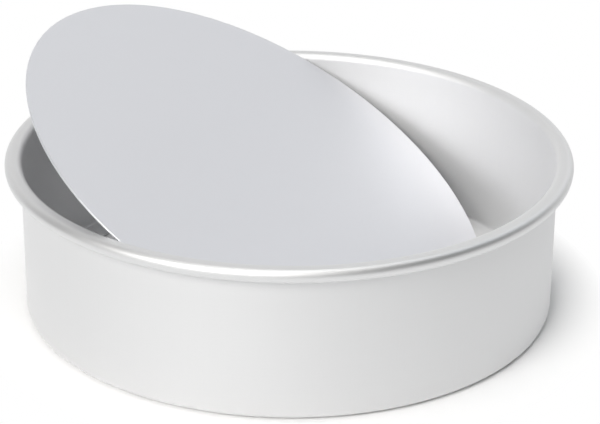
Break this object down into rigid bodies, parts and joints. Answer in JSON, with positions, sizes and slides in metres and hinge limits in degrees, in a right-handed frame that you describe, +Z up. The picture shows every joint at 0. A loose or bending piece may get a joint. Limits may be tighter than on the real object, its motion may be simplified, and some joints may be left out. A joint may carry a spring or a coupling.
{
  "type": "loose-bottom cake pan",
  "caption": "Round deep cake pan in plain aluminium: an open ring with a rolled rim and an in-turned seat at its foot, and a loose flat bottom that leans in the ring.",
  "frame": {"origin": "centre of the ring's foot, on the surface that the pan stands on", "axes": "+Z up along the ring's axis; +X towards the low edge of the leaning bottom, -X towards its raised edge"},
  "size_m": [0.2708, 0.2708, 0.1233],
  "materials": {
    "ring_aluminium": "satin anodised, spun",
    "bottom_aluminium": "satin anodised, flat rolled sheet"
  },
  "bodies": {
    "ring": {"pan_ring": "ring_aluminium"},
    "bottom": {"loose_bottom": "bottom_aluminium"}
  },
  "joints": [
    {"name": "bottom_lift", "type": "slide", "parent": "ring", "child": "bottom", "axis": [0, 0, 1], "range_m": [0, 0.1]}
  ]
}
